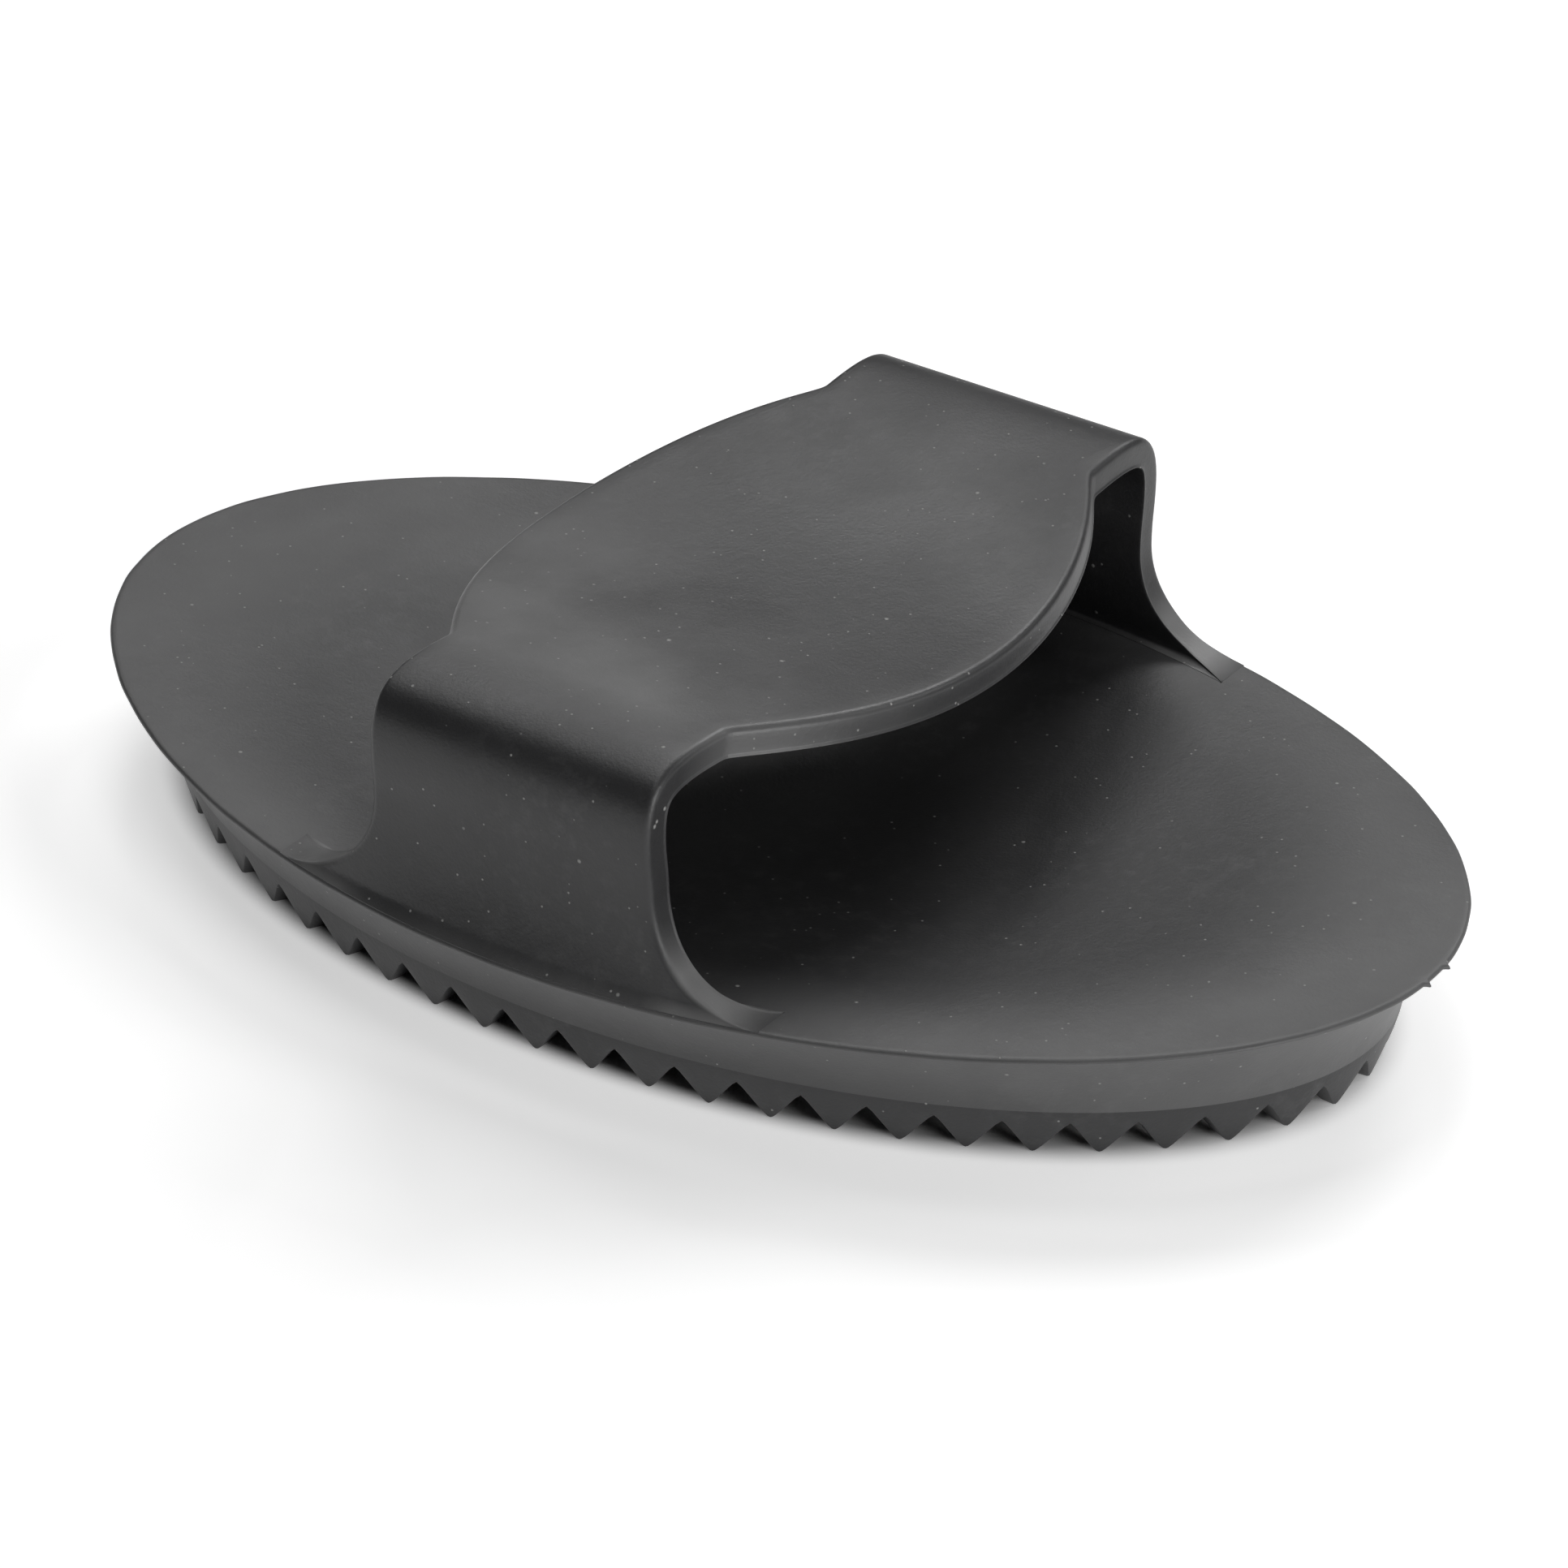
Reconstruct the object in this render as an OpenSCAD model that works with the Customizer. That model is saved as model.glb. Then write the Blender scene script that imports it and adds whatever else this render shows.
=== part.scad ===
// Oval rubber curry comb: a shallow oval base with rings of saw teeth below and a hand strap above.
// X runs along the oval, Y runs across it under the strap, and the tooth crests stand on Z = 0.

/* [Base] */
// Length of the oval along the rim edge
base_l = 170; // [140:1:190]
// Width of the oval along the rim edge
base_w = 107; // [96:1:120]
// How much the oval is drawn in between its axes, which makes its ends look pointed
pointed = 0.012; // [0:0.001:0.02]
// Height of the rim edge at the middle of the long sides
rim_z = 15.3; // [13:0.1:18]
// How much higher the rim edge is at the two ends
end_rise = 2.05; // [0:0.05:4]
// Height of the flat underside of the base
web_z = 10; // [8:0.1:11]
// Depth of the dish in the top of the base
dish_d = 3.3; // [0:0.1:3.5]

/* [Teeth] */
// How far the outer wall leans in between the rim edge and the tooth roots
wall_lean = 7; // [4:0.1:9]
// Height of a saw tooth from its root to its crest
tooth_h = 4.3; // [3:0.1:5]
// Thickness of a toothed ridge
ridge_t = 4.5; // [3:0.1:6]
// Width of the worn flat along a tooth crest
crest_w = 0.9; // [0.4:0.1:1.6]
// How far each side of a tooth leans in from root to crest
tooth_draft = 1.2; // [0:0.1:1.6]
// Distance from one toothed ring to the next
ring_step = 14; // [13:0.1:14]
// Teeth round the outer ring
outer_teeth = 54; // [46:4:58]
// Teeth round the middle ring
middle_teeth = 42; // [34:4:46]
// Teeth round the inner ring
inner_teeth = 30; // [22:4:34]
// Teeth along the centre bar
bar_teeth = 10; // [6:2:10]

/* [Strap] */
// Thickness of the strap
strap_t = 3.4; // [2.5:0.1:4.5]
// Height of the strap's top at the notches
notch_z = 42; // [38:0.5:48]
// Distance of the notches from the middle, across the comb
notch_y = 36.6; // [34:0.1:39]
// Half the strap's width at the notches
notch_half = 18.3; // [16:0.1:22]
// Half the palm panel's width at its widest
palm_half = 29.5; // [26:0.1:34]
// Half the strap's width at the narrowest part of its legs
leg_half = 18.7; // [17:0.1:22]
// Radius of the round flare where a leg grows out of the rim
flare_r = 12.5; // [6:0.5:14]
// How far the palm panel sags between the notches
palm_sag = 3.3; // [1.5:0.1:5]

/* [Hidden] */

half_l = base_l / 2;
half_w = base_w / 2;
stations = 120;         // points round each plain oval
ridge_z = 6;            // where the outer wall ends and the outer toothed ridge begins
rise_power = 1.6;       // how the rim climbs towards the ends
ridge_inset = wall_lean - 0.3;
wall_hollow = 1.2;      // how far the outer wall is hollowed in, half-way down
wall_steps = 3;
band_mid = 6.5;         // the top of the rim is bent at this inset
dish_axes = [half_l - 18.5, half_w - 7.3];
dish_ease = 0.25;       // how softly the dish starts, as a depth
dish_rings = 6;
arc_steps = 360;

foot_set_in = 0.9;      // the strap's outer face stands this far inside the rim edge
waist_y = 50.4;         // the strap's outer face at mid height
shoulder_z = 30.6;      // where the upright leg starts to bend over
lower_handle = 11.4;    // the shoulder bend's handle lengths
upper_handle = 11.1;
foot_taper = 0.5;       // how much wider a leg is at its foot, before the flare
foot_bunch = 1.8;       // above 1, the rows of a leg are closer together near its foot
lobe_squareness = 0.15; // from 0 for a parabolic lobe towards 1 for a squarer one
end_lift = 1.5;         // how much the sag is eased near the notches
foot_fillet = 3;        // extra thickness inside the foot of a leg
leg_rows = 9;
shoulder_rows = 8;
palm_rows = 20;
strap_columns = 8;
touch = 0.02;           // the leg's foot stands this far off the rim, so that the faces don't cross
split = 0.05;           // gap between a leg and the palm panel

base_colour = "#47484b";
tooth_colour = "#333437";
strap_colour = "#525356";

// Height of the top of the rim at a distance x along the comb
function top_z(x) = rim_z + end_rise * pow(abs(x) / half_l, rise_power);

// The base's half axes, inset by d all round
function inset(d) = [half_l - d, half_w - d];

function oval(axes, angle) =
    (1 - pointed * pow(sin(2 * angle), 2)) * [axes.x * cos(angle), axes.y * sin(angle)];

function even_angles(n) = [for (i = [0:n - 1]) 360 * i / n];

// Pairs of arc length and angle once round an oval, for spacing the teeth evenly
function arc_table(axes) = [
    for (i = 0, s = 0; i <= arc_steps; i = i + 1, s = s + norm(oval(axes, i) - oval(axes, i - 1))) [s, i]
];

// Triangles over a grid of n loops with m points each; closed joins the last loop to the first
function grid_faces(n, m, closed) = [
    for (i = [0:(closed ? n - 1 : n - 2)], j = [0:m - 1])
        let (a = i * m + j, b = i * m + (j + 1) % m)
        let (c = ((i + 1) % n) * m + (j + 1) % m, d = ((i + 1) % n) * m + j)
        each [[a, c, b], [a, d, c]]
];

// A ring whose cross-section is a loop of m points at every station
module ring_solid(loops) {
    polyhedron(points = [for (l = loops) each l], faces = grid_faces(len(loops), len(loops[0]), true));
}

// A slab whose cross-sections are loops: the outer face's points, then the inner face's in return
module slab_solid(loops) {
    n = len(loops);
    m = len(loops[0]);
    last = (n - 1) * m;
    caps = [
        for (j = [0:m / 2 - 2])
            each [
                [j, m - 2 - j, m - 1 - j], [j, j + 1, m - 2 - j],
                [last + j, last + m - 2 - j, last + j + 1], [last + j, last + m - 1 - j, last + m - 2 - j]
            ]
    ];
    polyhedron(points = [for (l = loops) each l], faces = concat(grid_faces(n, m, false), caps));
}

// ---- Base ----

web_axes = inset(wall_lean + ridge_t);

// Height of the base's top: level round the rim, with a round-bottomed oval dish that eases in
function face_z(p) =
    let (bowl = dish_d * (1 - pow(p.x / dish_axes.x, 2) - pow(p.y / dish_axes.y, 2)))
    top_z(p.x) - dish_ease * ln(1 + exp(bowl / dish_ease));

module base_plate() {
    angles = even_angles(stations);
    top_loops = [
        for (k = [0:dish_rings - 1])
            let (s = 1 - k / dish_rings)
            [for (q = angles) let (p = oval(web_axes * s, q)) [p.x, p.y, face_z(p)]]
    ];
    bottom_loop = [for (q = angles) let (p = oval(web_axes, q)) [p.x, p.y, web_z]];
    loops = concat([bottom_loop], top_loops);
    points = concat([for (l = loops) each l], [[0, 0, face_z([0, 0])], [0, 0, web_z]]);
    middle = len(loops) * stations;
    inner_loop = middle - stations;
    fans = [
        for (i = [0:stations - 1])
            let (j = (i + 1) % stations)
            each [[inner_loop + j, inner_loop + i, middle], [i, j, middle + 1]]
    ];
    color(base_colour)
        polyhedron(points = points, faces = concat(grid_faces(len(loops), stations, false), fans));
}

// The outer wall's inset, where share runs from 0 at the rim edge to 1 at the toothed ridge
function wall_inset(share) = ridge_inset * share + 4 * wall_hollow * share * (1 - share);

module rim_wall() {
    color(base_colour)
        ring_solid([
            for (q = even_angles(stations))
                let (rim = oval(inset(0), q), band = oval(inset(band_mid), q), web = oval(web_axes, q))
                concat(
                    [[rim.x, rim.y, top_z(rim.x)]],
                    [
                        for (k = [1:wall_steps])
                            let (share = k / wall_steps, p = oval(inset(wall_inset(share)), q))
                            [p.x, p.y, top_z(rim.x) + (ridge_z - top_z(rim.x)) * share]
                    ],
                    [[web.x, web.y, ridge_z], [web.x, web.y, face_z(web)], [band.x, band.y, face_z(band)]]
                )
        ]);
}

// ---- Teeth ----

// A toothed ridge round an oval: root_axes bounds its outside at the tooth roots, and its body
// reaches up to body_z, where its outside is body_axes
module toothed_ring(root_axes, body_axes, body_z, count) {
    table = arc_table(root_axes);
    pitch = table[arc_steps][0] / count;
    function angle_at(s) = lookup(s, table);
    function section(s, crest) =
        let (q = angle_at(s), lean = crest ? tooth_draft : 0, z = crest ? 0 : tooth_h)
        let (back = root_axes - [ridge_t, ridge_t])
        let (out = oval(root_axes - [lean, lean], q), in = oval(back + [lean, lean], q))
        let (body = oval(body_axes, q), heel = oval(back, q))
        [[body.x, body.y, body_z], [out.x, out.y, z], [in.x, in.y, z], [heel.x, heel.y, body_z]];
    ring_solid([
        for (i = [0:count - 1])
            each [
                section(i * pitch, false),
                section((i + 0.5) * pitch - crest_w / 2, true),
                section((i + 0.5) * pitch + crest_w / 2, true)
            ]
    ]);
}

module outer_tooth_ring() {
    color(tooth_colour)
        toothed_ring(inset(wall_lean), inset(ridge_inset), ridge_z, outer_teeth);
}

// The rings inside the outer one hang from the flat underside of the base
module hanging_ring(steps_in, count) {
    axes = inset(wall_lean + steps_in * ring_step);
    color(tooth_colour)
        toothed_ring(axes, axes, web_z, count);
}

module middle_tooth_ring() {
    hanging_ring(1, middle_teeth);
}

module inner_tooth_ring() {
    hanging_ring(2, inner_teeth);
}

module centre_tooth_bar() {
    pitch = 7.2;
    bar_l = bar_teeth * pitch;
    saw = [
        for (i = [0:bar_teeth - 1])
            let (x = i * pitch - bar_l / 2, mid = x + pitch / 2)
            each [[x, tooth_h], [mid - crest_w / 2, 0], [mid + crest_w / 2, 0]]
    ];
    color(tooth_colour)
        rotate([90, 0, 0])
            linear_extrude(height = ridge_t, center = true)
                polygon(concat(saw, [[bar_l / 2, tooth_h], [bar_l / 2, web_z], [-bar_l / 2, web_z]]));
}

// ---- Strap ----

foot_y = half_w - foot_set_in;
// The palm panel's fall towards the middle, at the notches
notch_slope = 2 * (palm_sag - end_lift) / notch_y;

// The upright leg's outer face, from t = 0 at the rim to t = 1 at the shoulder
function leg_point(t) = [
    foot_y * (1 - t) * (1 - 2 * t) + 4 * waist_y * t * (1 - t) + waist_y * t * (2 * t - 1),
    rim_z + (shoulder_z - rim_z) * t
];

function unit(v) = v / norm(v);

leg_end_dir = unit([foot_y - waist_y, shoulder_z - rim_z]);
notch_dir = unit([1, notch_slope]);
shoulder_start = [waist_y, shoulder_z];
notch_point = [notch_y, notch_z];

// The bend from the leg to the palm panel, a cubic curve
function shoulder_point(t) =
    let (a = shoulder_start + leg_end_dir * lower_handle, b = notch_point + notch_dir * upper_handle)
    shoulder_start * pow(1 - t, 3) + 3 * a * t * pow(1 - t, 2) + 3 * b * t * t * (1 - t)
        + notch_point * pow(t, 3);

// Half a leg's width from the foot, t = 0, past the shoulder, t = 1, to the notches, t = 2
function leg_width(t) =
    let (waist = notch_half + (leg_half - notch_half) * (1 - t / 2) + foot_taper * pow(max(0, 1 - t), 2))
    let (up = min(flare_r, (shoulder_z - rim_z) * t))
    waist + flare_r - sqrt(pow(flare_r, 2) - pow(flare_r - up, 2));

function strap_point(t) = t <= 1 ? leg_point(t) : shoulder_point(t - 1);

// Unit normal of the strap's outer face, pointing to its inside
function strap_normal(t) =
    let (e = 0.01, d = strap_point(min(t + e, 2)) - strap_point(max(t - e, 0)))
    unit([-d.y, d.x]);

// How much the foot of a leg follows the oval of the rim
function foot_bend(t, x) =
    let (u = pow(x / half_l, 2))
    pow(max(0, 1 - t / 0.8), 1.5) * half_w * (1 - sqrt(1 - u) * (1 - 4 * pointed * u * (1 - u)));

function leg_thickness(t) = strap_t + foot_fillet * pow(max(0, 1 - t / 0.35), 2);

// One point of a leg, at depth d inside its outer face. Its foot stands level on the rim.
function leg_place(t, x, d) =
    let (n = strap_normal(t), p = strap_point(t) + d * [n.x, n.y * min(1, 2 * t)])
    [x, foot_bend(t, x) - p.x, p.y + (top_z(x) - rim_z) * max(0, 1 - 2 * t) + touch];

function across(half) = [for (j = [0:strap_columns]) half * (2 * j / strap_columns - 1)];

module riser() {
    rows = concat(
        [for (i = [0:leg_rows - 1]) pow(i / leg_rows, foot_bunch)],
        [for (i = [0:shoulder_rows]) 1 + i / shoulder_rows]
    );
    color(strap_colour)
        slab_solid([
            for (t = rows)
                let (xs = across(leg_width(t)))
                concat(
                    [for (x = xs) leg_place(t, x, 0)],
                    [for (j = [strap_columns:-1:0]) leg_place(t, xs[j], leg_thickness(t))]
                )
        ]);
}

module near_riser() {
    riser();
}

module far_riser() {
    mirror([0, 1, 0])
        riser();
}

// The palm panel's half width and top height at v, from -1 at one pair of notches to 1 at the other
function palm_width(v) =
    let (w = (1 - lobe_squareness) * pow(v, 2) + lobe_squareness * pow(v, 4))
    palm_half - (palm_half - notch_half) * w;

function palm_top(v) = notch_z + touch - (1 - pow(v, 2)) * (palm_sag - end_lift * pow(v, 2));

module palm_panel() {
    run = notch_y - split;
    color(strap_colour)
        slab_solid([
            for (i = [0:palm_rows])
                let (v = 2 * i / palm_rows - 1, y = run * v, z = palm_top(v), xs = across(palm_width(v)))
                let (under_y = y + strap_t * notch_slope * v)
                concat(
                    [for (x = xs) [x, y, z]],
                    [for (j = [strap_columns:-1:0]) [xs[j], under_y, z - strap_t]]
                )
        ]);
}

base_plate();
rim_wall();
outer_tooth_ring();
middle_tooth_ring();
inner_tooth_ring();
centre_tooth_bar();
near_riser();
far_riser();
palm_panel();
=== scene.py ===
"""An oval rubber curry comb: its moulded surfaces and rubber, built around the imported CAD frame.

Lengths are in millimetres inside the shape functions, and become metres in make_piece().
X runs along the oval, Y across it, and the tooth crests stand on Z = 0.
"""

import math

import bpy
import numpy as np
from mathutils import Matrix, Vector


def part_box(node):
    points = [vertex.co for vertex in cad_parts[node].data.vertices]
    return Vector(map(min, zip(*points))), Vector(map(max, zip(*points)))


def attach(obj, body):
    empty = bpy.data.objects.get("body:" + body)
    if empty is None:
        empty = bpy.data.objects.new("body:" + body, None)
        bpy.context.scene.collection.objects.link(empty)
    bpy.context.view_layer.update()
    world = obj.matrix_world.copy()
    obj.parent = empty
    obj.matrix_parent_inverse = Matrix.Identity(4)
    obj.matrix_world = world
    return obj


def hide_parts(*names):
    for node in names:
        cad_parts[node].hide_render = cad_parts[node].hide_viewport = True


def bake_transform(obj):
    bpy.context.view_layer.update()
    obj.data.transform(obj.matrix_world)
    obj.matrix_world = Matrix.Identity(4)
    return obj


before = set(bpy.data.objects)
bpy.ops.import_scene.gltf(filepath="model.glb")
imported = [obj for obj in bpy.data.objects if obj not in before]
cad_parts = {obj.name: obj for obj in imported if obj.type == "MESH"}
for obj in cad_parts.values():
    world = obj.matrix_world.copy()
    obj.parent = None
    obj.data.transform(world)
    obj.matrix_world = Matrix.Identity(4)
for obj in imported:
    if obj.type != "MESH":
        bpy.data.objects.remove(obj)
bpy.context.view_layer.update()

MM = 0.001


# ---- Sizes, read from the CAD nodes ----


def box_mm(node):
    low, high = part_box(node)
    return np.array(low) / MM, np.array(high) / MM


rim_low, rim_high = box_mm("rim_wall")
web_low, web_high = box_mm("base_plate")
leg_low, leg_high = box_mm("far_riser")
palm_high = box_mm("palm_panel")[1]

HALF_L = rim_high[0]
HALF_W = rim_high[1]
WEB_Z = web_low[2]
RIDGE_Z = rim_low[2]
BAND_W = HALF_L - web_high[0]
RIM_Z = leg_low[2]
END_RISE = rim_high[2] - RIM_Z
FOOT_HALF = leg_high[0]
FOOT_Y = leg_high[1]
NOTCH_Y = leg_low[1]
PALM_HALF = palm_high[0]
NOTCH_Z = palm_high[2]

# The same proportions as in the CAD frame
POINTED = 0.012
RISE_POWER = 1.6
DISH_DEPTH = 3.3
DISH_L = 66.5
DISH_W = 46.2
DISH_EASE = 0.25
WALL_LEAN = 7.0
WALL_HOLLOW = 1.2
RIDGE_INSET = WALL_LEAN - 0.3
TOOTH_H = 4.3
RIDGE_T = 4.5
TOOTH_DRAFT = 1.2
RING_STEP = 14
STRAP_T = 3.4
WAIST_Y = 50.4
SHOULDER_Z = 30.6
LOWER_HANDLE = 11.4
UPPER_HANDLE = 11.1
NOTCH_HALF = 18.3
PALM_SAG = 3.3
END_LIFT = 1.5
LOBE_SQUARENESS = 0.15
NOTCH_SLOPE = 2 * (PALM_SAG - END_LIFT) / NOTCH_Y


# ---- Mesh making ----


def make_piece(name, points, faces, body, node, material, crease_deg=40):
    """One closed, smooth-shaded piece for a CAD node. Edges sharper than crease_deg stay sharp."""
    mesh = bpy.data.meshes.new(name)
    mesh.from_pydata((np.asarray(points) * MM).tolist(), [], faces)
    mesh.validate()
    mesh.shade_smooth()
    mesh.set_sharp_from_angle(angle=math.radians(crease_deg))
    mesh.materials.append(material)
    piece = bpy.data.objects.new(name, mesh)
    bpy.context.scene.collection.objects.link(piece)
    if isinstance(body, str):
        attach(piece, body)
    else:
        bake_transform(piece)
    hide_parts(node)
    return piece


def grid_faces(rows, columns, wrap_rows):
    """Quads over rows of points, where each row closes on itself."""
    faces = []
    for i in range(rows if wrap_rows else rows - 1):
        a, b = i * columns, (i + 1) % rows * columns
        for j in range(columns):
            k = (j + 1) % columns
            faces.append((a + j, a + k, b + k, b + j))
    return faces


def smoothstep(x):
    x = np.clip(x, 0, 1)
    return x * x * (3 - 2 * x)


# ---- Base ----


def top_z(x):
    return RIM_Z + END_RISE * np.abs(x / HALF_L) ** RISE_POWER


def face_z(x, y):
    """Height of the base's top: a rim that rises to both ends, round an oval dish that eases in."""
    bowl = DISH_DEPTH * (1 - (x / DISH_L) ** 2 - (y / DISH_W) ** 2)
    return top_z(x) - DISH_EASE * np.logaddexp(0, bowl / DISH_EASE)


def wall_inset(share):
    """Inset of the hollow outer wall, where share runs from 0 at the rim to 1 at the toothed ridge."""
    return RIDGE_INSET * share + 4 * WALL_HOLLOW * share * (1 - share)


def oval(inset, angle):
    """The comb's plan outline, an ellipse drawn in a little between its axes."""
    draw = 1 - POINTED * np.sin(2 * angle) ** 2
    return (HALF_L - inset) * np.cos(angle) * draw, (HALF_W - inset) * np.sin(angle) * draw


RIM_STATIONS = 1080
RIM_ANGLES = np.arange(RIM_STATIONS) * 2 * math.pi / RIM_STATIONS
NIB_ANGLES = (0.069, 2 * math.pi - 0.012)

# Insets and heights down the rounded edge of the rim
RIM_LIP = [
    (0.55, 0.0),
    (0.36, -0.05),
    (0.2, -0.14),
    (0.09, -0.27),
    (0.04, -0.42),
    (0.07, -0.52),
    (0.2, -0.6),
]


def rim_unevenness(angle):
    """The trimmed edge wavers by a tenth of a millimetre, with two nibs of flash at the right end."""
    waver = 0.05 * np.sin(31 * angle + 1) + 0.04 * np.sin(53 * angle) * np.sin(7 * angle)
    nibs = sum(0.55 * np.exp(-(((angle - a) / 0.0055) ** 2)) for a in NIB_ANGLES)
    return waver, nibs


def build_rim():
    waver, nibs = rim_unevenness(RIM_ANGLES)
    edge_x, _ = oval(0, RIM_ANGLES)
    columns = []
    for inset in (BAND_W, 10.5, 9.5, 8.5, 7.5, 6.5, 5.5, 4.5, 3.5, 2.4, 1.5, 0.9):
        x, y = oval(inset, RIM_ANGLES)
        columns.append((x, y, face_z(x, y)))
    for inset, rise in RIM_LIP:
        x, y = oval(inset + 0.5 * waver - nibs, RIM_ANGLES)
        columns.append((x, y, top_z(x) + rise - 0.3 * nibs))
    for share in np.linspace(0.09, 1, 20):
        z = top_z(edge_x) + (RIDGE_Z - top_z(edge_x)) * share
        columns.append((*oval(wall_inset(share), RIM_ANGLES), z))
    for share in np.linspace(0.25, 1, 4):
        inset = RIDGE_INSET + (BAND_W - RIDGE_INSET) * share
        columns.append((*oval(inset, RIM_ANGLES), np.full(RIM_STATIONS, RIDGE_Z)))
    web_x, web_y = oval(BAND_W, RIM_ANGLES)
    for share in (0.4, 0.8):
        columns.append((web_x, web_y, RIDGE_Z + (face_z(web_x, web_y) - RIDGE_Z) * share))
    points = np.array(columns).transpose(2, 0, 1)
    faces = grid_faces(RIM_STATIONS, points.shape[1], True)
    return make_piece(
        "rim_wall_skin", points.reshape(-1, 3), faces, "base", "rim_wall", base_rubber
    )


WEB_STATIONS = 360


def build_web():
    angles = np.arange(WEB_STATIONS) * 2 * math.pi / WEB_STATIONS
    edge_x, edge_y = oval(BAND_W, angles)
    level = np.full(WEB_STATIONS, WEB_Z)
    rows = [np.stack([edge_x * s, edge_y * s, level], 1) for s in (0.15, 0.5, 0.8, 1)]
    for s in 1 - np.linspace(0, 1, 72)[:-1] ** 1.15:
        x, y = edge_x * s, edge_y * s
        rows.append(np.stack([x, y, face_z(x, y)], 1))
    points = np.concatenate(rows + [[[0, 0, WEB_Z], [0, 0, face_z(0, 0)]]])
    faces = [f[::-1] for f in grid_faces(len(rows), WEB_STATIONS, False)]
    under, top = len(points) - 2, len(points) - 1
    last = (len(rows) - 1) * WEB_STATIONS
    for i in range(WEB_STATIONS):
        j = (i + 1) % WEB_STATIONS
        faces += [(j, i, under), (last + i, last + j, top)]
    return make_piece("base_web", points, faces, "base", "base_plate", base_rubber)


# ---- Teeth ----

TIP_ROUND = 0.55
VALLEY_ROUND = 0.3
TOOTH_STEPS = 16


def saw_height(u):
    """Height of the toothed edge, where u is 0 at a crest and 1 at a valley."""
    tip, valley = TIP_ROUND / TOOTH_H, VALLEY_ROUND / TOOTH_H
    rise = (np.sqrt(u**2 + tip**2) - tip) / (math.hypot(1, tip) - tip)
    fall = (np.sqrt((1 - rise) ** 2 + valley**2) - valley) / (math.hypot(1, valley) - valley)
    return TOOTH_H * (1 - fall)


def tooth_phases(count):
    """Positions along a row of teeth and the saw's phase at each, closest together at the crests."""
    step = np.linspace(-1, 1, TOOTH_STEPS, endpoint=False)
    step = np.sign(step) * np.abs(step) ** 1.25
    place = (np.arange(count)[:, None] + 0.5 + step / 2).ravel()
    return place, np.tile(np.abs(step), count)


def ridge_section(z):
    """Insets and heights round a toothed ridge, down its outer side and up its inner side."""
    lean = TOOTH_DRAFT * (TOOTH_H - z) / TOOTH_H
    edge = 0.35
    zero = np.zeros_like(z)
    return [
        (lean * 0.5, (z + TOOTH_H) / 2 + 0.2),
        (lean, z + edge),
        (lean + 0.3 * edge, z + 0.3 * edge),
        (lean + edge, z),
        (zero + RIDGE_T / 2, z),
        (RIDGE_T - lean - edge, z),
        (RIDGE_T - lean - 0.3 * edge, z + 0.3 * edge),
        (RIDGE_T - lean, z + edge),
        (RIDGE_T - lean * 0.5, (z + TOOTH_H) / 2 + 0.2),
    ]


def build_tooth_ring(name, node, inset, top_inset, top, count):
    fine = np.linspace(0, 2 * math.pi, 4001)
    x, y = oval(inset, fine)
    run = np.concatenate([[0], np.cumsum(np.hypot(np.diff(x), np.diff(y)))])
    place, phase = tooth_phases(count)
    angles = np.interp(place / count * run[-1], run, fine)
    z = saw_height(phase)
    shoulder = min(top - 0.1, TOOTH_H + 1.0)
    section = [(top_inset, np.full_like(z, top))]
    blend_in = (top_inset - inset) * (shoulder - TOOTH_H) / max(top - TOOTH_H, 0.01)
    section.append((inset + blend_in, np.full_like(z, shoulder)))
    section += [(inset + d, h) for d, h in ridge_section(z)]
    section.append((inset + RIDGE_T, np.full_like(z, shoulder)))
    section.append((inset + RIDGE_T, np.full_like(z, top)))
    columns = [(*oval(d, angles), h) for d, h in section]
    points = np.array(columns).transpose(2, 0, 1)
    faces = grid_faces(len(place), len(section), True)
    return make_piece(name, points.reshape(-1, 3), faces, "base", node, tooth_rubber)


def build_tooth_bar():
    low, high = box_mm("centre_tooth_bar")
    count = 10
    place, phase = tooth_phases(count)
    place, phase = np.append(place, count), np.append(phase, 1)
    x = low[0] + (high[0] - low[0]) * place / count
    z = saw_height(phase)
    half = high[1]
    top = np.full_like(z, high[2])
    section = [(0 * z, top), *ridge_section(z), (0 * z + RIDGE_T, top)]
    columns = [(x, d - half, h) for d, h in section]
    points = np.array(columns).transpose(2, 0, 1)
    n, m = points.shape[:2]
    faces = grid_faces(n, m, False)
    faces += [tuple(range(m))[::-1], tuple((n - 1) * m + j for j in range(m))]
    faces = [f[::-1] for f in faces]
    points = points.reshape(-1, 3)
    return make_piece(
        "centre_saw_bar", points, faces, "base", "centre_tooth_bar", tooth_rubber
    )


# ---- Strap ----

EDGE_ROUND = 0.9
FOOT_FILLET = 2.0
FOOT_WAIST = 19.2
FLARE = FOOT_HALF - FOOT_WAIST
SUNK = 0.4


def bezier(t, a, b, c, d):
    t = t[:, None]
    return a * (1 - t) ** 3 + 3 * b * t * (1 - t) ** 2 + 3 * c * t * t * (1 - t) + d * t**3


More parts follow.
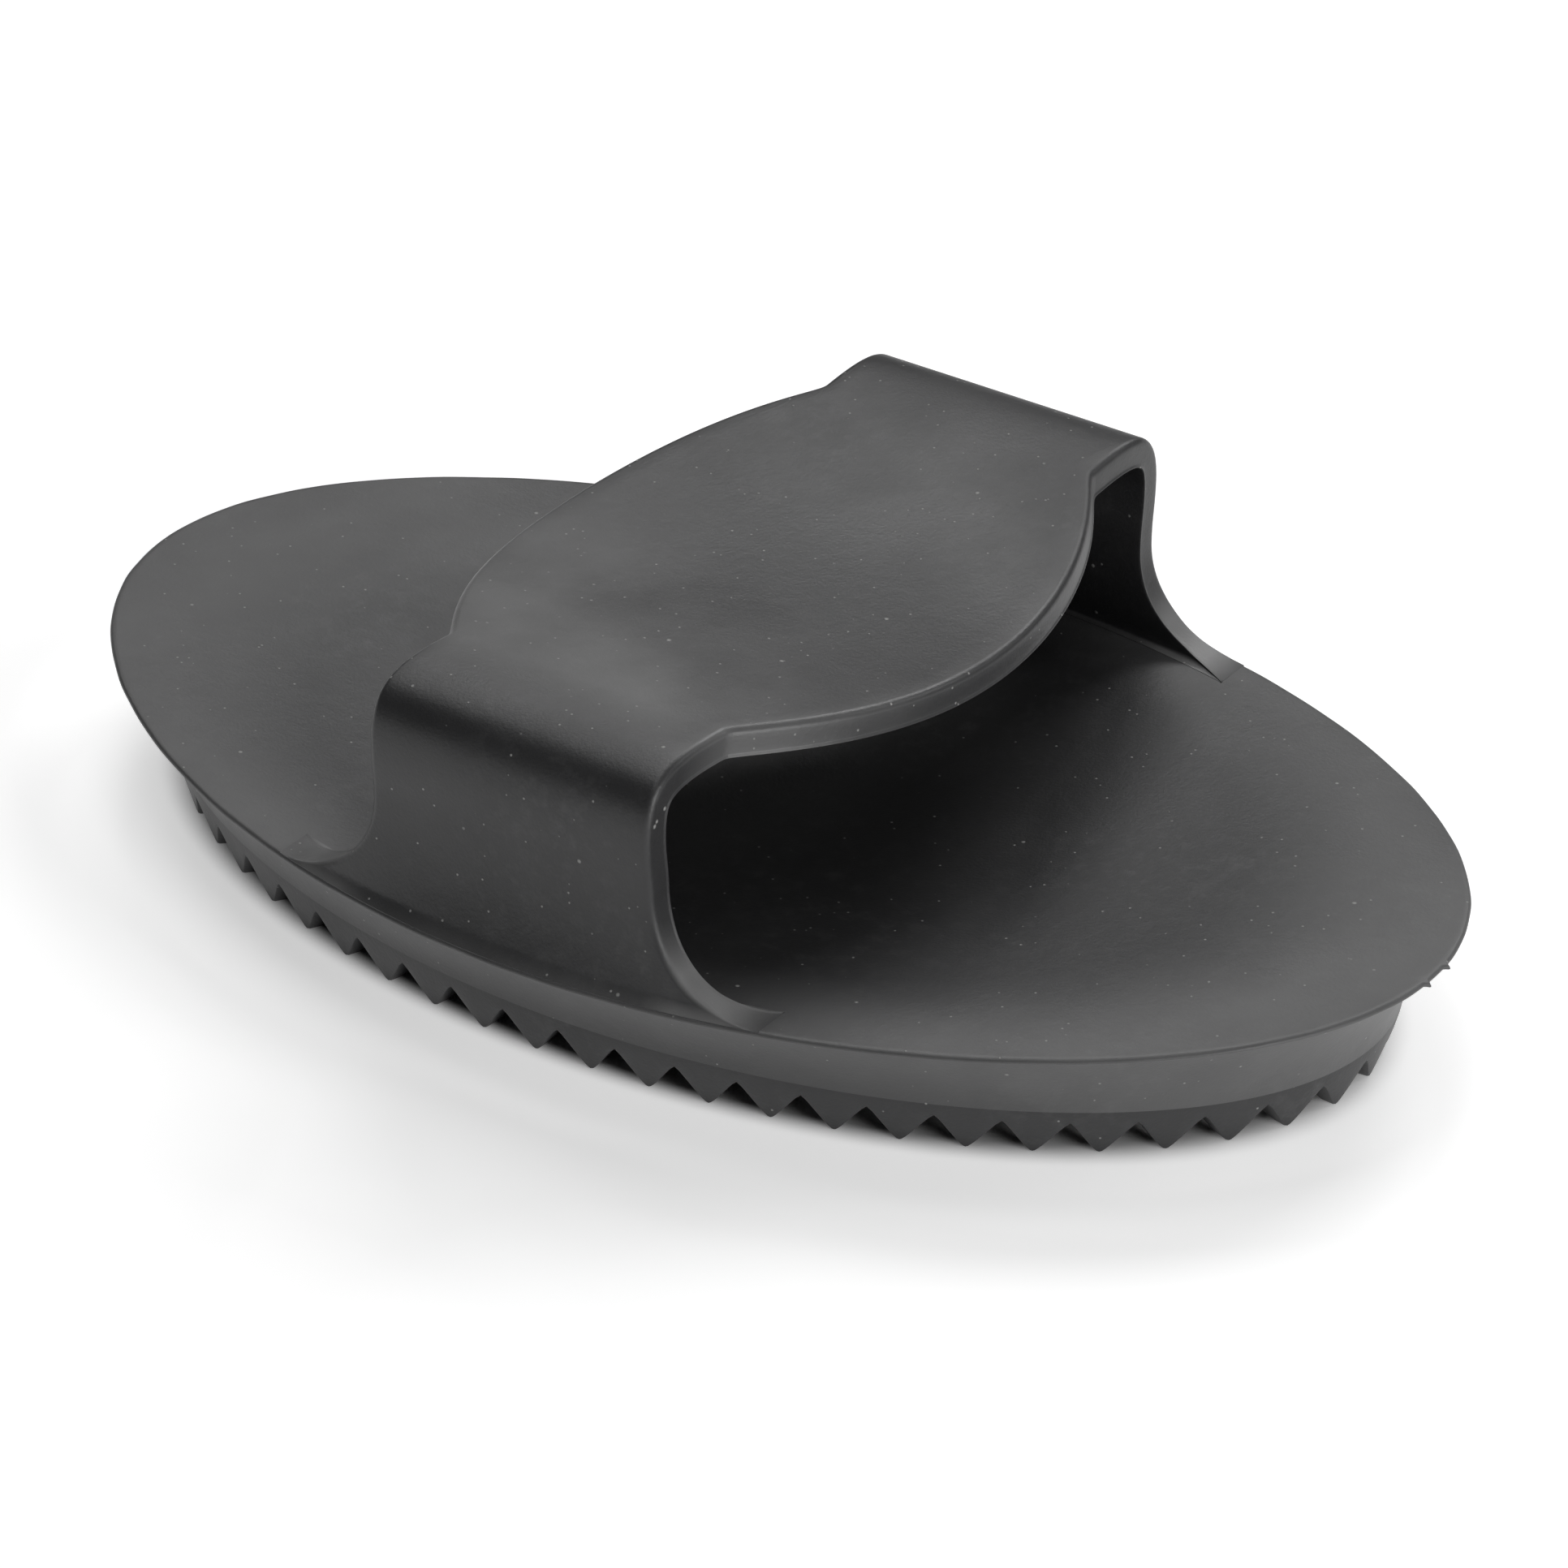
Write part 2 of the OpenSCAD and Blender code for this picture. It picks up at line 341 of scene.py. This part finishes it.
def leg_profile():
    """The strap's outer face in the YZ plane, from rim to notches: parameters, run lengths, points."""
    t = np.linspace(0, 1, 400)
    leg_y = FOOT_Y * (1 - t) * (1 - 2 * t) + 4 * WAIST_Y * t * (1 - t) + WAIST_Y * t * (2 * t - 1)
    leg = np.stack([leg_y, RIM_Z + (SHOULDER_Z - RIM_Z) * t], 1)
    start, end = np.array([WAIST_Y, SHOULDER_Z]), np.array([NOTCH_Y, NOTCH_Z])
    rise = np.array([FOOT_Y - WAIST_Y, SHOULDER_Z - RIM_Z])
    fall = np.array([1, NOTCH_SLOPE])
    low_handle = start + rise / np.linalg.norm(rise) * LOWER_HANDLE
    high_handle = end + fall / np.linalg.norm(fall) * UPPER_HANDLE
    bend = bezier(np.linspace(0, 1, 400)[1:], start, low_handle, high_handle, end)
    points = np.concatenate([leg, bend])
    run = np.concatenate([[0], np.cumsum(np.linalg.norm(np.diff(points, axis=0), axis=1))])
    return np.concatenate([t, 1 + np.linspace(0, 1, 400)[1:]]), run, points


LEG_T, LEG_RUN, LEG_POINTS = leg_profile()


def leg_place(x, run, depth):
    """Points of the near leg, at depth inside its outer face."""
    t = np.interp(run, LEG_RUN, LEG_T)
    y, z = (np.interp(run, LEG_RUN, LEG_POINTS[:, k]) for k in (0, 1))
    e = 0.05
    dy, dz = (
        np.interp(run + e, LEG_RUN, LEG_POINTS[:, k]) - np.interp(run - e, LEG_RUN, LEG_POINTS[:, k])
        for k in (0, 1)
    )
    size = np.hypot(dy, dz)
    ny, nz = -dz / size, dy / size * np.minimum(1, 2 * t)
    share = (x / HALF_L) ** 2
    bend = np.maximum(0, 1 - t / 0.8) ** 1.5
    bend = bend * HALF_W * (1 - np.sqrt(1 - share) * (1 - 4 * POINTED * share * (1 - share)))
    flick = (HALF_W - 0.25 - FOOT_Y) * np.maximum(0, 1 - run / 1.6) ** 2
    y = y + flick + ny * depth
    z = z + (top_z(x) - RIM_Z) * np.maximum(0, 1 - 2 * t) + nz * depth
    return np.stack([x, bend - y, z], -1)


def palm_place(x, run, depth):
    """Points of the palm panel, where run is the distance from the near notches across the comb."""
    y = run - NOTCH_Y
    v = y / NOTCH_Y
    z = NOTCH_Z - (1 - v**2) * (PALM_SAG - END_LIFT * v**2)
    slope = (2 * v * (PALM_SAG - END_LIFT * v**2) + (1 - v**2) * 2 * END_LIFT * v) / NOTCH_Y
    size = np.sqrt(1 + slope**2)
    return np.stack([x, y + slope / size * depth, z - depth / size], -1)


def palm_width(run):
    """Half the panel's width, with a small fillet where it springs from the notches."""
    fillet = 1.0
    from_notch = np.minimum(run, 2 * NOTCH_Y - run)
    eased = np.hypot(from_notch, fillet) - fillet
    v = 1 - eased / (NOTCH_Y - fillet)
    share = (1 - LOBE_SQUARENESS) * v**2 + LOBE_SQUARENESS * v**4
    return PALM_HALF - (PALM_HALF - NOTCH_HALF) * share


def strap_rows(runs, width, place, thickness, rounding, columns=25):
    """Closed cross-sections of a strap with rounded edges, one for each run length."""
    e = 0.05
    half = width(runs)
    slope = (width(runs + e) - width(runs - e)) / (2 * e)
    size = np.sqrt(1 + slope**2)
    out_x, out_run = 1 / size, -slope / size
    turns = np.linspace(0, math.pi / 2, 7)
    lip = [(0.0, 0.5), (0.02, 0.34), (0.11, 0.24), (0.13, 0.1), (0.04, 0.02), (-0.1, 0.0)]
    rows = []
    for i, run in enumerate(runs):
        r, t = rounding(run), thickness(run)
        inner = half[i] - out_x[i] * r
        share = np.linspace(-1, 1, columns)
        face_x = share * inner
        face_run = run - out_run[i] * r * np.abs(share) ** 4
        edge = []
        for turn in turns[1:]:
            reach, drop = r * math.sin(turn), r * (1 - math.cos(turn))
            edge.append((inner + out_x[i] * reach, run - out_run[i] * (r - reach), drop))
        for level in (0.33, 0.67):
            edge.append((half[i], run, r + (t - r - 0.5) * level))
        for out, up in lip:
            edge.append((half[i] + out_x[i] * out, run + out_run[i] * out, t - up))
        ex, er, ed = np.array(edge).T
        x = np.concatenate([face_x, ex, face_x[::-1], -ex[::-1]])
        along = np.concatenate([face_run, er, face_run[::-1], er[::-1]])
        depth = np.concatenate([np.zeros(columns), ed, np.full(columns, t), ed[::-1]])
        rows.append(place(x, np.clip(along, 0, None), depth))
    return np.array(rows)


def leg_thickness(run):
    fillet = max(0.0, FOOT_FILLET - run)
    return STRAP_T + FOOT_FILLET - math.sqrt(FOOT_FILLET**2 - fillet**2)


def leg_rounding(run):
    return EDGE_ROUND * (0.15 + 0.85 * float(smoothstep(run / 3)))


def leg_width(run):
    """Half the strap's width: nearly straight, with a round flare into the rim."""
    waist = NOTCH_HALF + (FOOT_WAIST - NOTCH_HALF) * (1 - np.clip(run / 20, 0, 1)) ** 2
    above = np.clip(FLARE - run, 0, FLARE)
    return waist + FLARE - np.sqrt(FLARE**2 - above**2)


def build_leg(name, node, mirrored):
    flare_turns = np.linspace(0, math.pi / 2, 44)
    runs = np.concatenate([FLARE * (1 - np.cos(flare_turns)), np.linspace(FLARE, LEG_RUN[-1], 70)[1:]])
    rows = strap_rows(runs, leg_width, leg_place, leg_thickness, leg_rounding)
    rows = np.concatenate([rows[:1] - [0, 0, SUNK], rows])
    n, m = rows.shape[:2]
    faces = grid_faces(n, m, False) + section_caps(n, m)
    if mirrored:
        rows = rows * [1, -1, 1]
        faces = [f[::-1] for f in faces]
    y = np.sign(rows[0, 0, 1]) * WAIST_Y * MM
    bend = {
        "between": ("base", "palm"),
        "start": (0, y, (RIM_Z + 1) * MM),
        "end": (0, y, (NOTCH_Z - 5) * MM),
    }
    return make_piece(name, rows.reshape(-1, 3), faces, bend, node, strap_rubber)


def section_caps(n, m):
    """Flat ends for the first and last cross-section."""
    return [tuple(range(m))[::-1], tuple((n - 1) * m + j for j in range(m))]


def build_palm():
    length = 2 * NOTCH_Y
    ends = np.linspace(0, 6, 24)
    runs = np.concatenate([ends[:-1], np.linspace(6, length - 6, 90), length - ends[-2::-1]])
    rows = strap_rows(runs, palm_width, palm_place, lambda run: STRAP_T, lambda run: EDGE_ROUND)
    n, m = rows.shape[:2]
    faces = grid_faces(n, m, False) + section_caps(n, m)
    points = rows.reshape(-1, 3)
    return make_piece("palm_strap", points, faces, "palm", "palm_panel", strap_rubber)


# ---- Rubber ----


class NodeKit:
    """Short ways to add shader nodes to a material. Places are in the frame's coordinates."""

    def __init__(self, material):
        material.use_nodes = True
        self.nodes = material.node_tree.nodes
        self.links = material.node_tree.links
        self.shader = self.nodes["Principled BSDF"]
        self.place = self.nodes.new("ShaderNodeTexCoord").outputs["Object"]

    def feed(self, socket, value):
        """Links an output to the socket, or sets the socket to a number or colour."""
        if isinstance(value, bpy.types.NodeSocket):
            self.links.new(value, socket)
        else:
            socket.default_value = value

    def noise(self, scale, detail=3, rough=0.55):
        node = self.nodes.new("ShaderNodeTexNoise")
        node.inputs["Scale"].default_value = scale
        node.inputs["Detail"].default_value = detail
        node.inputs["Roughness"].default_value = rough
        self.links.new(self.place, node.inputs["Vector"])
        return node.outputs["Fac"]

    def remap(self, value, low, high, to_low, to_high, smooth=False):
        node = self.nodes.new("ShaderNodeMapRange")
        node.interpolation_type = "SMOOTHSTEP" if smooth else "LINEAR"
        node.inputs["From Min"].default_value = low
        node.inputs["From Max"].default_value = high
        node.inputs["To Min"].default_value = to_low
        node.inputs["To Max"].default_value = to_high
        self.links.new(value, node.inputs["Value"])
        return node.outputs["Result"]

    def math(self, kind, a, b=0.0):
        """One math node, such as ADD or MULTIPLY."""
        node = self.nodes.new("ShaderNodeMath")
        node.operation = kind
        self.feed(node.inputs[0], a)
        self.feed(node.inputs[1], b)
        return node.outputs[0]

    def mix(self, share, a, b):
        """A mix of two colours, whose sockets are the node's inputs 6 and 7 and its output 2."""
        node = self.nodes.new("ShaderNodeMix")
        node.data_type = "RGBA"
        self.links.new(share, node.inputs["Factor"])
        self.feed(node.inputs[6], a)
        self.feed(node.inputs[7], b)
        return node.outputs[2]

    def weigh(self, x, y, z):
        """The place in millimetres, each coordinate times its weight, added up."""
        dot = self.nodes.new("ShaderNodeVectorMath")
        dot.operation = "DOT_PRODUCT"
        dot.inputs[1].default_value = (x / MM, y / MM, z / MM)
        self.links.new(self.place, dot.inputs[0])
        return dot.outputs["Value"]

    def specks(self, scale, size, share):
        cells = self.nodes.new("ShaderNodeTexVoronoi")
        cells.inputs["Scale"].default_value = scale
        self.links.new(self.place, cells.inputs["Vector"])
        near = self.remap(cells.outputs["Distance"], size * 0.5, size, 1, 0)
        pick = self.nodes.new("ShaderNodeSeparateColor")
        self.links.new(cells.outputs["Color"], pick.inputs["Color"])
        chosen = self.math("LESS_THAN", pick.outputs["Red"], share)
        return self.math("MULTIPLY", near, chosen)


# Light grey for the random pale smears, and also the colour of the painted light on the rim, palm and
# feet.
PALE_SMEAR_AND_PAINTED_LIGHT = (0.16, 0.16, 0.16, 1)
SPECK = (0.36, 0.36, 0.35, 1)
RIM_PAINTED_LIGHT = 0.38
PALM_PAINTED_LIGHT = 0.66
LEDGE_PAINTED_LIGHT = 0.9

# Where the painted light on the strap fades in or out, in millimetres
NEAR_FADE = (-8, 28)
SHOULDER_FADE = (-45, -36)
PALM_HEIGHT_FADE = (34, 38)
FOOT_HEIGHT_FADE = (24, 28)


def painted_light_on_rim(kit):
    """The share of painted light on the band round the dish: a lighter colour that fades out inside
    the dish.
    """
    across = kit.math("POWER", kit.math("ABSOLUTE", kit.weigh(1 / DISH_L, 0, 0)), 2.0)
    along = kit.math("POWER", kit.math("ABSOLUTE", kit.weigh(0, 1 / DISH_W, 0)), 2.0)
    return kit.remap(kit.math("ADD", across, along), 0.75, 1.25, 0, RIM_PAINTED_LIGHT)


def painted_light_on_strap(kit):
    """The share of painted light: a lighter colour on the near half of the palm, and a painted
    highlight on the upward-facing ledges of the flared feet.
    """
    height = kit.weigh(0, 0, 1)
    # Painted light: the near half of the palm is made lighter.
    near = kit.remap(kit.weigh(-0.4, -1, 0), *NEAR_FADE, 0, PALM_PAINTED_LIGHT)
    past_shoulder = kit.remap(kit.weigh(0, 1, 0), *SHOULDER_FADE, 0, 1)
    high = kit.remap(height, *PALM_HEIGHT_FADE, 0, 1)
    palm = kit.math("MULTIPLY", high, kit.math("MULTIPLY", near, past_shoulder))

    facing = kit.nodes.new("ShaderNodeSeparateXYZ")
    normal = kit.nodes.new("ShaderNodeNewGeometry").outputs["Normal"]
    kit.links.new(normal, facing.inputs[0])
    # Painted highlight: surfaces facing upward on the flared feet are made lighter.
    upward = kit.remap(facing.outputs["Z"], 0.25, 0.75, 0, LEDGE_PAINTED_LIGHT)
    aside = kit.math("ABSOLUTE", kit.weigh(1, 0, 0))
    past_waist = kit.remap(aside, FOOT_WAIST - 1, FOOT_WAIST + 3, 0.35, 1)
    before_tip = kit.remap(aside, FOOT_HALF - 4, FOOT_HALF, 1, 0.2)
    low = kit.remap(height, *FOOT_HEIGHT_FADE, 1, 0)
    flare = kit.math("MULTIPLY", past_waist, before_tip)
    ledge = kit.math("MULTIPLY", upward, kit.math("MULTIPLY", flare, low))
    return kit.math("MAXIMUM", palm, ledge)


def rubber(name, colour, roughness, speckle, painted_light_places=None):
    """Cloudy dark rubber with light specks, pale smears and a fine grain, made lighter with painted
    light where the given places function says so.
    """
    material = bpy.data.materials.new(name)
    kit = NodeKit(material)
    clouds = kit.remap(kit.noise(28, 4), 0.35, 0.65, 0, 1)
    dark = tuple(c * 0.93 for c in colour) + (1,)
    pale = tuple(c * 1.07 for c in colour) + (1,)
    base = kit.mix(clouds, dark, pale)
    streaks = kit.remap(kit.noise(420, 3, 0.7), 0.5, 0.75, 0, 1)
    smears = kit.remap(kit.noise(45, 3), 0.45, 0.7, 0, 0.2)
    base = kit.mix(kit.math("MULTIPLY", streaks, smears), base, PALE_SMEAR_AND_PAINTED_LIGHT)
    # Painted light: a patchy lighter colour laid on the places given.
    if painted_light_places:
        patchy = kit.remap(kit.noise(40, 4), 0.35, 0.65, 0.7, 1.25)
        base = kit.mix(kit.math("MULTIPLY", painted_light_places(kit), patchy), base, PALE_SMEAR_AND_PAINTED_LIGHT)
    fine = kit.specks(900, 0.16, 0.16 * speckle)
    coarse = kit.specks(330, 0.1, 0.12 * speckle)
    dots = kit.math("MAXIMUM", fine, coarse)
    base = kit.mix(kit.math("MULTIPLY", dots, 0.7), base, SPECK)
    kit.links.new(base, kit.shader.inputs["Base Color"])

    rough = kit.remap(kit.noise(38, 5), 0.35, 0.65, roughness - 0.06, roughness + 0.06)
    rough = kit.math("ADD", rough, kit.math("MULTIPLY", dots, 0.2))
    kit.links.new(rough, kit.shader.inputs["Roughness"])
    kit.shader.inputs["Specular IOR Level"].default_value = 0.5

    grain = kit.math("ADD", kit.noise(2600, 2), kit.math("MULTIPLY", kit.noise(520, 3), 1.4))
    grain = kit.math("ADD", grain, kit.math("MULTIPLY", dots, 2.0))
    bump = kit.nodes.new("ShaderNodeBump")
    bump.inputs["Strength"].default_value = 0.35
    bump.inputs["Distance"].default_value = 0.08 * MM
    kit.links.new(grain, bump.inputs["Height"])
    kit.links.new(bump.outputs["Normal"], kit.shader.inputs["Normal"])
    return material


base_rubber = rubber("base_rubber", (0.024, 0.024, 0.025), 0.46, 0.8, painted_light_on_rim)
tooth_rubber = rubber("tooth_rubber", (0.026, 0.026, 0.027), 0.48, 0.4)
strap_rubber = rubber("strap_rubber", (0.024, 0.024, 0.025), 0.44, 1.2, painted_light_on_strap)


# ---- Assembly ----

build_rim()
build_web()
build_tooth_ring("outer_saw_ring", "outer_tooth_ring", WALL_LEAN, RIDGE_INSET, RIDGE_Z, 54)
middle = WALL_LEAN + RING_STEP
build_tooth_ring("middle_saw_ring", "middle_tooth_ring", middle, middle, WEB_Z, 42)
inner = middle + RING_STEP
build_tooth_ring("inner_saw_ring", "inner_tooth_ring", inner, inner, WEB_Z, 30)
build_tooth_bar()
build_leg("near_strap_leg", "near_riser", False)
build_leg("far_strap_leg", "far_riser", True)
build_palm()


# ---- Stage, lights and camera ----

CAMERA_AZIMUTH = math.radians(33.8)
CAMERA_ELEVATION = math.radians(30.75)
CAMERA_ROLL = math.radians(-1.18)
CAMERA_DISTANCE = 0.8993
CAMERA_LENS = 182.96
CAMERA_SHIFT = (0.00876, 0.05964)

LIGHT_DISTANCE = 1.6

FLOOR_REACH = 6.0
FLOOR_GLOW = 0.36
CONTACT_GLOW = 0.18


def floor_material():
    """A pale floor that glows, except under the comb, and glows most just outside its teeth."""
    material = bpy.data.materials.new("pale_floor")
    kit = NodeKit(material)
    kit.shader.inputs["Base Color"].default_value = (0.9, 0.9, 0.9, 1)
    kit.shader.inputs["Emission Color"].default_value = (1, 1, 1, 1)
    crest = WALL_LEAN + TOOTH_DRAFT
    scaled = kit.nodes.new("ShaderNodeVectorMath")
    scaled.operation = "MULTIPLY"
    scaled.inputs[1].default_value = (1 / ((HALF_L - crest) * MM), 1 / ((HALF_W - crest) * MM), 0)
    kit.links.new(kit.place, scaled.inputs[0])
    length = kit.nodes.new("ShaderNodeVectorMath")
    length.operation = "LENGTH"
    kit.links.new(scaled.outputs["Vector"], length.inputs[0])
    reach = length.outputs["Value"]
    outside = kit.remap(reach, 0.95, 1.04, 0, 1, smooth=True)
    glow = kit.remap(reach, 1.04, 1.3, FLOOR_GLOW + CONTACT_GLOW, FLOOR_GLOW)
    kit.links.new(kit.math("MULTIPLY", outside, glow), kit.shader.inputs["Emission Strength"])
    return material


def build_floor():
    mesh = bpy.data.meshes.new("floor")
    corners = [(-1, -1), (1, -1), (1, 1), (-1, 1)]
    mesh.from_pydata([(x * FLOOR_REACH, y * FLOOR_REACH, 0) for x, y in corners], [], [(0, 1, 2, 3)])
    mesh.materials.append(floor_material())
    floor = bpy.data.objects.new("floor", mesh)
    bpy.context.scene.collection.objects.link(floor)


def area_light(name, azimuth, elevation, size, power):
    """A softbox aimed at the comb. Azimuth 0 is over the camera and 90 is at its right."""
    turn, tilt = math.radians(azimuth) - math.pi / 2 + CAMERA_AZIMUTH, math.radians(elevation)
    place = Vector((math.cos(turn) * math.cos(tilt), math.sin(turn) * math.cos(tilt), math.sin(tilt)))
    light = bpy.data.lights.new(name, "AREA")
    light.shape = "SQUARE"
    light.size = size
    light.energy = power
    lamp = bpy.data.objects.new(name, light)
    lamp.location = place * LIGHT_DISTANCE
    lamp.rotation_euler = (-place).to_track_quat("-Z", "Y").to_euler()
    bpy.context.scene.collection.objects.link(lamp)


def build_lights():
    world = bpy.data.worlds.new("studio")
    world.use_nodes = True
    world.node_tree.nodes["Background"].inputs["Strength"].default_value = 0.0
    bpy.context.scene.world = world
    area_light("back_right", 148, 40, 0.55, 6.5)
    area_light("back_middle", 180, 47, 0.55, 4.2)
    area_light("back_left", 212, 36, 0.5, 1.6)
    area_light("front_right", 45, 12, 0.75, 12)
    area_light("right", 100, 32, 0.5, 2.5)
    area_light("top_back", 215, 72, 0.8, 6.5)
    area_light("top_front", 0, 72, 0.9, 3.5)


def build_camera():
    az, el, roll = CAMERA_AZIMUTH, CAMERA_ELEVATION, CAMERA_ROLL
    back = Vector((math.sin(az) * math.cos(el), -math.cos(az) * math.cos(el), math.sin(el)))
    level = Vector((math.cos(az), math.sin(az), 0))
    upright = back.cross(level)
    right = level * math.cos(roll) - upright * math.sin(roll)
    up = level * math.sin(roll) + upright * math.cos(roll)
    camera = bpy.data.objects.new("camera", bpy.data.cameras.new("camera"))
    camera.data.lens = CAMERA_LENS
    camera.data.sensor_width = 36
    camera.data.shift_x, camera.data.shift_y = CAMERA_SHIFT
    camera.data.clip_start = 0.05
    turn = Matrix((right, up, back)).transposed().to_4x4()
    camera.matrix_world = Matrix.Translation(back * CAMERA_DISTANCE) @ turn
    bpy.context.scene.collection.objects.link(camera)
    bpy.context.scene.camera = camera


build_floor()
build_lights()
build_camera()
bpy.context.scene.view_settings.view_transform = "Standard"
